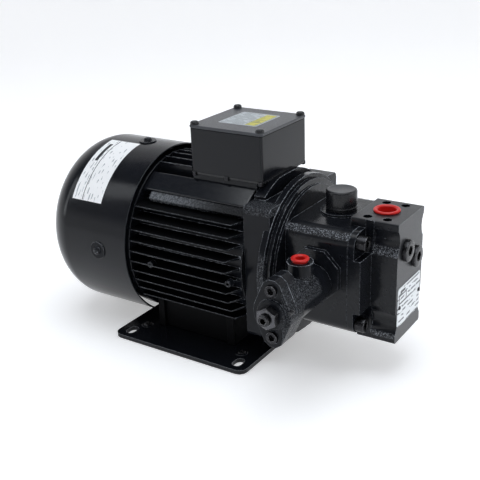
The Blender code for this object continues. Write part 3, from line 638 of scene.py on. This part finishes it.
def arc(centre, radius, start, end, steps):
    """Points along an arc between two angles in degrees, with both ends."""
    turns = [math.radians(start + (end - start) * i / steps) for i in range(steps + 1)]
    return [(centre[0] + radius * math.cos(a), centre[1] + radius * math.sin(a)) for a in turns]


def rounded(half, radius, centre=(0.0, 0.0)):
    """A rectangle with round corners, from its half sizes."""
    outline = []
    for quarter, (sa, sb) in enumerate(((1, 1), (-1, 1), (-1, -1), (1, -1))):
        corner = (centre[0] + sa * (half[0] - radius), centre[1] + sb * (half[1] - radius))
        outline += arc(corner, radius, 90.0 * quarter, 90.0 * quarter + 90.0, CORNER_STEPS)
    return outline


def hexagon(centre, across_flats, turn=0.0):
    """A hexagon's outline, turned by an angle in degrees."""
    return arc(centre, across_flats / math.sqrt(3.0), turn, turn + 360.0, 6)[:-1]


def both(values):
    """The four corners that lie so far to both sides."""
    return [(sa * values[0], sb * values[1]) for sa in (-1, 1) for sb in (-1, 1)]


def placed(bm, matrix):
    """A mesh moved by a matrix."""
    bm.transform(matrix)
    return bm


def facing(at, direction):
    """Puts a piece that is drawn about the origin along +X at a place, facing a direction."""
    turn = Vector((1.0, 0.0, 0.0)).rotation_difference(Vector(direction)).to_matrix().to_4x4()
    return Matrix.Translation(Vector(at)) @ turn


# ---- motor --------------------------------------------------------------------------------------
def fin(bm, x, root, tip, set_back):
    """A tapered fin along X between two points of its section, (y, z), with a sloping front end."""
    root, tip = Vector((0.0, *root)), Vector((0.0, *tip))
    out = (tip - root).normalized()
    across = Vector((1.0, 0.0, 0.0)).cross(out)
    corners = []
    for end, back in ((x[0], 0.0), (x[1], set_back)):
        base, edge = Vector((end, 0.0, 0.0)), Vector((end - back, 0.0, 0.0))
        corners.append([bm.verts.new(p) for p in (
            base + root - across * FIN_HALF_ROOT, edge + tip - across * FIN_HALF_TIP,
            edge + tip + across * FIN_HALF_TIP, base + root + across * FIN_HALF_ROOT)])
    first, last = corners
    bm.faces.new(first)
    bm.faces.new(reversed(last))
    for i in range(4):
        j = (i + 1) % 4
        bm.faces.new((first[j], first[i], last[i], last[j]))


def make_motor_frame():
    """The finned barrel with the seats of the terminal box and the feet, its name pads and bosses."""
    x0, x1 = FRAME_X
    foot = low("motor_frame").z
    bm = turned([(x0, BARREL_BORE), (x0, BARREL_R), (x1, BARREL_R), (x1, BARREL_BORE)], steps=SMOOTH)
    for i in range(FINS_PER_SIDE):
        z = FIN_TOP_Z - FIN_PITCH * i
        root, tip = (math.sqrt(r**2 - (z - SHAFT_Z) ** 2) for r in (BARREL_WALL, FIN_TIP_R))
        for side in (-1, 1):
            fin(bm, (x0, x1 - 0.5), (side * root, z), (side * tip, z), 8.5)
    for y in (-25.0, -15.0, -5.0, 5.0, 15.0, 25.0):
        root, tip = (SHAFT_Z + math.sqrt(r**2 - y**2) for r in (BARREL_WALL, FIN_TIP_R))
        fin(bm, (x0, BOX_LOW.x - 0.6), (y, root), (y, tip), 9.0)
    for half, x, lid, upper in ((36.0, (-3.0, 65.0), high("motor_frame").z, True),
                                (46.0, (-46.0, 43.0), foot, False)):
        reach = math.degrees(math.acos(half / BARREL_WALL))
        start, end = (reach, 180.0 - reach) if upper else (180.0 + reach, 360.0 - reach)
        seat = arc((0.0, SHAFT_Z), BARREL_WALL, start, end, 24)
        ends = [(-half, lid), (half, lid)] if upper else [(half, lid), (-half, lid)]
        prism(seat + ends, "X", *x, bm)
    for x in ((-45.5, -38.5), (35.5, 42.5)):
        for y in ((-49.0, -44.0), (44.0, 49.0)):
            block(x, y, (foot, 46.0), bm)
    # edge=0.85 paints bright highlight lines along the fin tips and other edges that face up
    look = cast_paint("frame_paint", grain_depth=0.03, lump_depth=0.06, edge=0.85, gloss=0.2)
    piece = add("motor_casting", bm, look, replaces=["motor_frame"], bevel=0.3)
    # painted shade: the fins' upper and lower faces and the faces low under the barrel get the near-black
    # paint
    relook(piece, deep_shade(), lambda face: face.center.z < 34.0 * MM
           or abs(face.normal.z) > 0.9 and abs(face.center.y) > 52.0 * MM)

    pads = bmesh.new()
    for side in (-1, 1):
        section = [(36.0, 159.5), (53.5, 147.5), (50.5, 143.5), (33.0, 155.5)]
        prism([(side * y, z) for y, z in section], "X", x0 + 0.5, x1 - 2.0, pads)
    # the pads' pale edges, their top edge most, are a painted highlight, partly wear
    add("name_pads", pads, pressed_paint("pad_paint", edge=PALE_EDGE, gloss=0.5), bevel=1.2,
        segments=4)

    ledges = bmesh.new()
    for side in (-1, 1):
        section = [(52.2, 146.3), (57.5, 140.4), (54.0, 136.0), (46.0, 140.0)]
        prism([(side * y, z) for y, z in section], "X", x0 + 10.0, x1 - 2.5, ledges)
    add("pad_ledges", ledges, pad_skin(), bevel=0.9, segments=3)

    bosses = bmesh.new()
    for side in (-1, 1):
        for x in (-26.0, 60.0):
            outward = facing((x, side * 74.0, 84.6), (0.0, side, 0.0))
            boss = turned([(0, 1.5), (0, 3.4), (5.2, 3.1), (5.8, 2.6), (5.8, 1.5)], at=ORIGIN, steps=SMALL)
            mesh = bpy.data.meshes.new("boss")
            placed(boss, outward).to_mesh(mesh)
            bosses.from_mesh(mesh)
    add("fin_bosses", bosses, cast_paint())


def cover_profile(inset):
    """The fan cover's outline from its rim to its flat back, moved inwards by an inset."""
    dome_x, flat_r, exponent, steps = -125.6, 50.0, 2.0 / 1.8, 28
    length, drop = dome_x - COVER_X[0] - inset, COVER_R - flat_r
    points = [(x, COVER_R - inset) for x in (COVER_X[1] + 1.4, COVER_SCREW_X, NOTCH_X)]
    for i in range(steps + 1):
        a = math.pi / 2 * i / steps
        along = dome_x - length * math.sin(a) ** exponent
        points.append((along, flat_r - inset + drop * max(math.cos(a), 0.0) ** exponent))
    return points + [(COVER_X[0] + inset, 0.0)]


def make_fan_cover():
    """The pressed cover with its air slots, and the three screws that hold it."""
    skin = turned(list(reversed(cover_profile(0.0))) + cover_profile(COVER_WALL), steps=SMOOTH)
    slots, count = bmesh.new(), 16
    for i in range(count):
        before = set(slots.verts)
        outline = rounded((2.2, 14.5), 2.1, (0.0, 29.5))
        prism(outline, "X", COVER_X[0] - 2.0, COVER_X[0] + 4.0, slots)
        about = Matrix.Translation((0, 0, SHAFT_Z)) @ Matrix.Rotation(math.tau * i / count, 4, "X")
        bmesh.ops.transform(slots, matrix=about, verts=[v for v in slots.verts if v not in before])
    notch = block((NOTCH_X, COVER_X[1] + 2.0), (-60.0, 60.0), (0.0, 21.0))
    # the cover's pale rim and edges are a painted highlight, partly wear
    look = pressed_paint("cover_paint", edge=(0.26, 0.27, 0.29))
    add("fan_cover_shell", carve(skin, slots, notch), look, replaces=["fan_cover"],
        bevel=0.35, angle=50.0)

    for i, angle in enumerate((0.0, 90.0, -90.0)):
        out = Vector((0.0, -math.sin(math.radians(angle)), math.cos(math.radians(angle))))
        seat = facing(Vector((COVER_SCREW_X, 0.0, SHAFT_Z)) + out * (COVER_R - 0.2), out)
        washer = turned([(0.0, 2.6), (-0.4, 8.0), (0.0, 8.6), (1.0, 8.6), (1.4, 8.2), (1.4, 2.6)],
                        at=ORIGIN)
        # the washers' pale rims are a painted highlight, partly wear
        look = pressed_paint("washer_paint", edge=(0.4, 0.41, 0.43), gloss=0.12)
        add(f"cover_washer_{i + 1}", placed(washer, seat), look)
        head = turned([(-3.0, 0.0), (-3.0, 2.4), (1.4, 2.4), (1.4, 4.2), (2.6, 4.0), (3.6, 3.1), (4.0, 1.9),
                       (4.0, 0.0)], at=ORIGIN, steps=SMALL)
        narrow, wide = (-0.45, 0.45), (-2.4, 2.4)
        cross = [block((2.6, 5.0), y, z) for y, z in ((narrow, wide), (wide, narrow))]
        # the screws' pale edges are partly wear, partly a painted highlight
        look = cast_paint("screw_paint", grain_depth=0.01, lump_depth=0.02, edge=0.6, gloss=0.2)
        add(f"cover_screw_{i + 1}", placed(carve(head, *cross), seat), look)


def curved_sheet(name, x, angles, radius, look, steps=24):
    """A sticker on the fan cover: a strip between two angles off the top, on the side of the control."""
    thick = 0.12
    bm = bmesh.new()
    rows = []
    for i in range(steps + 1):
        a = math.radians(angles[0] + (angles[1] - angles[0]) * i / steps)
        rows.append([bm.verts.new((end, -(r * math.sin(a)), SHAFT_Z + r * math.cos(a)))
                     for r in (radius, radius + thick) for end in x])
    for first, second in zip(rows, rows[1:]):
        for i, j in ((0, 1), (1, 3), (3, 2), (2, 0)):
            bm.faces.new((first[i], first[j], second[j], second[i]))
    for row in (rows[0], rows[-1]):
        bm.faces.new((row[0], row[1], row[3], row[2]))
    add(name, bm, look)


def make_cover_sticker():
    """The fan cover's sticker: rows of broken lines, an upright rule and a dark bar."""
    pale = sticker("cover_sticker", "X", 3.4, (0.95, 0.955, 0.96), (0.42, 0.44, 0.46), 0.42)
    ink = plain_ink("sticker_ink", (0.015, 0.016, 0.02))
    left, right, split = -121.5, -85.0, -109.0
    surface, over = COVER_R + 0.05, COVER_R + 0.11
    curved_sheet("cover_label", (left, right), (7.0, 60.0), surface, pale)
    curved_sheet("cover_label_rule", (split - 0.35, split + 0.35), (7.4, 59.6), over, ink)
    curved_sheet("cover_label_bar", (split - 7.0, split - 3.4), (13.0, 31.0), over, ink, 8)


def make_shields():
    """The two end shields. The front one is coarse at its upper corner and on the neck to the pump, with
    painted glints on the coarse skin's peaks and a painted highlight along its edges.
    """
    add("rear_shield_casting", refined("rear_shield"), cast_paint(),
        replaces=["rear_shield"], bevel=0.5)
    near, far = low("front_shield"), high("front_shield")
    corner_side = ((75.0, near.y - 1.0, 109.0), (88.0, near.y + 3.0, 122.0), 3.0)
    corner_top = ((near.x + 4.0, near.y - 1.0, 146.0), (far.x, near.y + 30.0, far.z + 1.0), 2.0)
    neck = ((87.0, -76.0, 62.0), (94.0, -58.0, 112.0), 3.0)
    # pale peaks in the coarse zones are painted glints; pale edges are partly wear, partly a painted
    # highlight
    look = cast_paint("shield_paint", grain_mm=1.8, grain_depth=0.1, lump_depth=0.45,
                      rough_zones=(corner_side, corner_top, neck), edge=0.8, gloss=0.16, peak=0.13)
    add("front_shield_casting", refined("front_shield"), look, replaces=["front_shield"],
        bevel=0.6, segments=3)


def make_terminal_box():
    """The box with its lid, its two gaskets and the four round screw covers on the lid."""
    mid = middle("terminal_box")
    half = (BOX_HIGH - BOX_LOW) / 2
    add("terminal_box_shell", refined("terminal_box"), pressed_paint(),
        replaces=["terminal_box"], bevel=0.8, segments=3)
    lid_low = low("terminal_box_lid").z
    lid = prism(rounded((half.x + 0.5, half.y + 0.5), 3.0, (mid.x, mid.y)), "Z", lid_low, LID_FACE)
    # painted light: the lid, which faces the overhead lamp, gets a lighter copy of the machined paint
    add("lid_plate", lid, machined_paint("lid_paint", shade=0.036),
        replaces=["terminal_box_lid"], bevel=0.7, segments=3)
    gasket = prism(rounded((half.x - 0.4, half.y - 0.4), 2.4, (mid.x, mid.y)), "Z", BOX_HIGH.z, lid_low)
    add("lid_gasket", gasket, black_plastic())
    seat = prism(rounded((half.x - 0.6, half.y - 1.2), 2.0, (mid.x, mid.y)), "Z", BOX_LOW.z - 2.4,
                 BOX_LOW.z)
    add("box_gasket", seat, black_plastic(), bevel=0.3)
    profile = [(-2.0, 0.0), (-2.0, 2.0), (0.0, 2.0), (0.0, 3.9), (1.6, 3.9), (2.6, 3.3), (3.1, 2.2),
               (3.2, 0.0)]
    for i, (dx, dy) in enumerate(both((half.x - 3.6, half.y - 3.6))):
        bm = turned(profile, "Z", (mid.x + dx, mid.y + dy, LID_FACE), SMALL)
        add(f"lid_screw_{i + 1}", bm, black_plastic())


def make_box_screws():
    """The small hexagon heads that show under the terminal box's lower edge."""
    z = BOX_LOW.z - 1.2
    for i, x in enumerate((BOX_LOW.x + 2.5, (BOX_LOW.x + BOX_HIGH.x) / 2, BOX_HIGH.x - 2.5)):
        for side in (-1, 1):
            y = side * (BOX_HIGH.y - 1.5)
            head = prism(hexagon((x, y), 4.4, 15.0), "Z", z - 2.6, z + 1.0)
            number = 2 * i + (side + 3) // 2
            add(f"box_screw_{number}", head, oxide_steel(), bevel=0.35)


def flat_sheet(name, outline, axis, start, end, look):
    """A flat sticker or plate, from its outline and its limits along an axis."""
    add(name, prism(outline, axis, start, end), look)


def make_lid_sticker():
    """The lid's sticker: a silver edge, a print of broken lines and a yellow patch."""
    centre = ((BOX_LOW.x + BOX_HIGH.x) / 2 + 0.5, 1.5)
    edge, label, patch = (LID_FACE + thick for thick in (0.15, 0.25, 0.33))
    silver = plain_ink("sticker_edge", (0.45, 0.47, 0.49))
    pale = sticker("lid_sticker", "Y", 3.0, (0.42, 0.46, 0.48), (0.13, 0.15, 0.16), 0.56)
    flat_sheet("lid_label_edge", rounded((20.0, 21.5), 2.0, centre), "Z", LID_FACE, edge, silver)
    flat_sheet("lid_label", rounded((18.6, 20.0), 1.2, centre), "Z", edge, label, pale)
    yellow = sticker("lid_yellow", "Y", 4.0, (0.50, 0.46, 0.03), (0.05, 0.05, 0.03), 0.47)
    outline = rounded((5.2, 19.0), 0.8, (centre[0] + 12.6, centre[1] - 0.4))
    flat_sheet("lid_label_patch", outline, "Z", label, patch, yellow)


def make_base_details():
    """The base plate with the four screws that hold the motor's feet, each in its dimple."""
    # the plate's pale edges: partly wear, partly a painted highlight
    look = pressed_paint("plate_paint", edge=PALE_EDGE)
    add("base_plate_sheet", refined("base_plate"), look, replaces=["base_plate"], bevel=0.5)
    for i, (x, y) in enumerate(both((56.0, 56.0))):
        rim = [(0.0, 3.6), (0.0, 5.8), (0.4, 5.5), (0.7, 5.0), (0.7, 4.4), (0.5, 3.9), (0.2, 3.6)]
        bm = turned(rim, "Z", (x, y, PLATE_TOP - 0.05), ROUND)
        add(f"plate_dimple_{i + 1}", bm, pressed_paint())
        head = [(-1.0, 0.0), (-1.0, 3.5), (0.9, 3.5), (1.6, 3.0), (1.8, 2.3), (1.8, 0.0)]
        socket = prism(hexagon((x, y), 3.0), "Z", PLATE_TOP + 0.6, PLATE_TOP + 3.0)
        bm = carve(turned(head, "Z", (x, y, PLATE_TOP), SMALL), socket)
        add(f"plate_screw_{i + 1}", bm, oxide_steel())


# ---- pump ---------------------------------------------------------------------------------------
def cap_screw(name, at, direction, head_r, head_h, shank_r, shank_l, key, node):
    """A socket head cap screw instead of a CAD node, with its head's seat at a place."""
    edge = head_r * 0.1
    profile = [(-shank_l, 0), (-shank_l, shank_r), (0, shank_r), (0, head_r - 0.3), (0.3, head_r),
               (head_h - edge, head_r), (head_h - edge * 0.3, head_r - edge * 0.3), (head_h, head_r - edge),
               (head_h, 0)]
    screw = turned(profile, at=ORIGIN, steps=SCREW_SIDES)
    mouth = turned([(head_h - 0.6, 0), (head_h - 0.6, key * 0.5), (head_h + 0.6, key * 0.5 + 1.2),
                    (head_h + 0.6, 0)], at=ORIGIN, steps=SMALL)
    socket = prism(hexagon((0.0, 0.0), key), "X", head_h * 0.45, head_h + 1.0)
    bm = placed(carve(screw, socket, mouth), facing(at, direction))
    add(name, bm, oxide_steel(), replaces=[node])


def make_pump_housing():
    """The housing, with a coarse strip along its upper rounding on both sides, whose pale peaks are painted
    glints where the rounding catches the light.
    """
    strips = tuple(((100.0, side * 44.5 - 2.0, 132.3), (158.0, side * 44.5 + 2.0, 136.7), 1.5)
                   for side in (-1.0, 1.0))
    # pale peaks in the strips are painted glints; pale edges are partly wear, partly a painted highlight
    look = cast_paint("pump_paint", grain_mm=1.6, grain_depth=0.08, lump_depth=0.25, rough_zones=strips,
                      edge=0.38, peak=0.28)
    add("pump_casting", refined("pump_housing"), look, replaces=["pump_housing"], bevel=0.6,
        segments=3)


def make_end_cover():
    """The end cover with its milled end and port face, its four bolts and its two blanking plugs."""
    # coarse strips on both sides; their pale peaks are painted glints, and the pale edges are partly wear,
    # partly a painted highlight
    strips = tuple(((171.0, side * 27.0 - 5.0, z[0]), (194.0, side * 27.0 + 5.0, z[1]), 1.5)
                   for side in (-1.0, 1.0) for z in ((117.0, 123.0), (42.0, 45.0)))
    look = cast_paint("end_paint", grain_mm=1.6, grain_depth=0.07, lump_depth=0.22, rough_zones=strips,
                      edge=0.5, peak=0.26)
    casting = add("end_casting", refined("end_cover"), look, replaces=["end_cover"],
                  bevel=0.6, segments=3)
    # painted shade: the milled faces get a darker copy of the machined paint than the lid
    relook(casting, machined_paint("milled_paint", shade=0.013),
           lambda face: face.normal.x > 0.9 and face.center.x > (END_X - 0.2) * MM
           or face.normal.z > 0.9 and face.center.z > (BLOCK_TOP - 0.2) * MM)
    for name, kind, count, (head_r, head_h, shank_r, shank_l, key) in (
            ("cover_bolt", "end_cover_bolt", 4, (6.5, 8.0, 4.0, 17.0, 6.0)),
            ("blank_plug", "end_plug", 2, (9.5, 3.6, 7.7, 9.0, 8.0))):
        for i in range(1, count + 1):
            node = f"{kind}_{i}"
            at = middle(node)
            at.x = high(node).x - head_h
            cap_screw(f"{name}_{i}", at, (1, 0, 0), head_r, head_h, shank_r, shank_l, key, node)


def make_nameplate():
    """The plate on the end cover with its print, a framed field, a bar and two rivets."""
    centre = (0.0, 69.0)
    metal = sticker("nameplate_print", "Z", 4.2, (0.82, 0.85, 0.87), (0.18, 0.19, 0.21), 0.5)
    flat_sheet("nameplate", rounded((24.0, 18.0), 2.5, centre), "X", END_X, END_X + 0.5, metal)
    ink = plain_ink("nameplate_ink", (0.05, 0.052, 0.06))
    print_x = (END_X + 0.5, END_X + 0.58)
    window = prism(rounded((8.0, 4.2), 0.8, (-14.0, 76.0)), "X", *print_x)
    pane = prism(rounded((6.9, 3.1), 0.5, (-14.0, 76.0)), "X", print_x[0] - 1.0, print_x[1] + 1.0)
    add("nameplate_frame", carve(window, pane), ink)
    flat_sheet("nameplate_bar", rounded((5.0, 1.2), 0.3, (-14.0, 82.5)), "X", *print_x, ink)
    head = [(0.0, 0.0), (0.0, 2.0), (0.5, 1.9), (1.0, 1.3), (1.2, 0.5), (1.2, 0.0)]
    for i, y in enumerate((-21.0, 21.0)):
        bm = turned(head, "X", (END_X + 0.5, y, centre[1]), SMALL)
        add(f"nameplate_rivet_{i + 1}", bm, oxide_steel())


def make_caps():
    """The fill cap and the two red protection plugs, each on the body that lifts out."""
    base, top, at = low("fill_cap"), high("fill_cap"), middle("fill_cap")
    seat = base.z + 12.0
    r = (top.x - base.x) / 2
    profile = [(base.z - seat, 0), (base.z - seat, 9.7), (0.3, 9.7), (0.3, r - 0.6), (0.6, r), (3.4, r),
               (3.8, r - 0.35), (4.4, r - 0.35), (4.8, r), (16.6, r), (17.6, r - 0.4), (18.2, r - 1.1),
               (18.5, r - 2.0), (18.2, r - 3.2), (18.2, 0)]
    bm = turned(profile, "Z", (at.x, at.y, seat), SMOOTH)
    cap = add("fill_cap_moulding", bm, black_plastic(), "fill_cap", ["fill_cap"])
    relook(cap, machined_paint(), lambda face: face.normal.z > 0.95 and face.center.z > (top.z - 1.0) * MM)
    for node, seat, shank, cup, depth in (("outlet_plug", BLOCK_TOP, 9.5, 8.0, 12.0),
                                          ("control_port_plug", high("compensator_body").z, 6.2, 4.0, 9.0)):
        at = middle(node)
        flange = (high(node).x - low(node).x) / 2
        profile = [(-depth, 0), (-depth, shank - 0.5), (-depth + 0.6, shank), (0.3, shank),
                   (0.3, flange - 0.3), (0.6, flange), (1.5, flange), (2.0, flange - 0.4),
                   (2.2, flange - 1.0), (2.2, cup + 1.4),
                   (1.9, cup + 0.6), (1.2, cup), (2.0 - depth, cup - 0.4), (1.5 - depth, cup - 1.0),
                   (1.5 - depth, 0)]
        bm = turned(profile, "Z", (at.x, at.y, seat), SMOOTH)
        add(node + "_moulding", bm, red_plastic(), node, [node])


# ---- pressure control ---------------------------------------------------------------------------
def make_control():
    """The pressure control's body and cap, their screws and pin, the adjusting screw and its nut."""
    x, z = CONTROL.x, CONTROL.z
    # pale peaks in the coarse zones on cap and body are painted glints; pale edges are partly wear, partly
    # a painted highlight
    cap_side = ((x + 9.0, CAP_LOW.y + 0.5, z - 26.0), (x + 18.0, -99.5, z + 26.0), 1.0)
    body_side = ((x + 4.0, -98.0, z + 4.0), (x + 17.0, -70.0, z + 16.0), 4.0)
    look = cast_paint("control_paint", grain_mm=1.5, grain_depth=0.09, lump_depth=0.3,
                      rough_zones=(cap_side, body_side), edge=0.8, gloss=0.15, peak=0.1)
    for node in ("compensator_body", "compensator_cap"):
        add(node + "_casting", refined(node), look, replaces=[node], bevel=0.5, segments=3)
    for i in (1, 2):
        node = f"compensator_screw_{i}"
        at = middle(node)
        at.y = low(node).y + 6.0
        cap_screw(f"cap_screw_{i}", at, (0, -1, 0), 5.0, 6.0, 3.0, 14.0, 5.0, node)
    tip, end = low("adjusting_screw").y, high("adjusting_screw").y
    profile = [(0, 0), (0, 4.2), (0.8, 5.0), (end - tip, 5.0), (end - tip, 0)]
    screw = turned(profile, "Y", (x, tip, z), SCREW_SIDES)
    socket = prism(hexagon((x, z), 5.0), "Y", tip - 1.0, tip + 5.0)
    add("adjuster", carve(screw, socket), oxide_steel(), "adjusting_screw",
        ["adjusting_screw"])
    front, back = low("lock_nut").y, high("lock_nut").y
    flats, chamfer_r = 16.0, 7.6
    corner = flats / math.sqrt(3.0)
    nut = prism(hexagon((x, z), flats, 30.0), "Y", front, back)
    bore = turned([(front - 1.0, 0), (front - 1.0, 5.3), (back + 1.0, 5.3), (back + 1.0, 0)], "Y",
                  (x, 0.0, z), SCREW_SIDES)
    chamfer = turned([(front - 1.0, chamfer_r), (front - 1.0, corner + 2.0), (front + 1.4, corner + 2.0),
                      (front + 1.0, corner + 0.3), (front - 0.05, chamfer_r)], "Y", (x, 0.0, z), 96)
    add("lock_nut_turned", carve(nut, bore, chamfer), oxide_steel("worn_oxide_steel", shade=0.09),
        "lock_nut", ["lock_nut"])
    pin = turned([(-4.0, 0), (-4.0, 1.6), (0.9, 1.6), (1.3, 1.1), (1.3, 0)], at=ORIGIN, steps=SMALL)
    pin = placed(pin, facing((x + 16.5, CAP_LOW.y + 3.0, z + 4.8), (0, -1, 0)))
    add("cap_pin", pin, oxide_steel())


def make_spring():
    """The spring between the adjusting screw and the spool, in two halves."""
    ends, coil_r, wire_r, half_turns = (-104.2, -85.7), 4.2, 0.9, 2.5
    sides, steps = 10, 90
    half = (ends[1] - ends[0]) / 2
    for name, joint, side, travel in (("spring_front", "adjusting_screw_turn", -1, 4.0),
                                      ("spring_rear", "spool_slide", 1, 3.0)):
        bm = bmesh.new()
        rings = []
        for i in range(steps + 1):
            turn = side * math.tau * half_turns * i / steps
            out = Vector((math.cos(turn), 0.0, math.sin(turn)))
            at = Vector((CONTROL.x, ends[0] + half + side * half * i / steps, CONTROL.z)) + out * coil_r
            rings.append([bm.verts.new(at + (out * math.cos(a) + Vector((0.0, math.sin(a), 0.0))) * wire_r)
                          for a in (math.tau * k / sides for k in range(sides))])
        for first, second in zip(rings, rings[1:]):
            for k in range(sides):
                j = (k + 1) % sides
                bm.faces.new((first[k], first[j], second[j], second[k]))
        bm.faces.new(rings[0])
        bm.faces.new(rings[-1])
        coil = add(name, bm, bright_steel(), replaces=["compensator_spring"])
        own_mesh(coil)


# ---- the CAD nodes that stay --------------------------------------------------------------------
def dress_frame():
    """Gives each CAD node that stays the look of its slot."""
    looks = {
        "steel": bright_steel,
        "bronze": bearing_bronze,
        "copper_winding": copper_winding,
        "black_plastic": black_plastic,
        "black_oxide_steel": oxide_steel,
        "red_plastic": red_plastic,
        "black_paint": cast_paint,
        "black_pressed_paint": pressed_paint,
    }
    for part in frame["record"]["subparts"]:
        mesh = frame["nodes"][part["node"]].data
        mesh.materials.clear()
        mesh.materials.append(looks[part["material_slot"]]())


make_camera()
make_studio()
dress_frame()
make_motor_frame()
make_shields()
make_fan_cover()
make_cover_sticker()
make_terminal_box()
make_box_screws()
make_lid_sticker()
make_base_details()
make_pump_housing()
make_end_cover()
make_nameplate()
make_caps()
make_control()
make_spring()
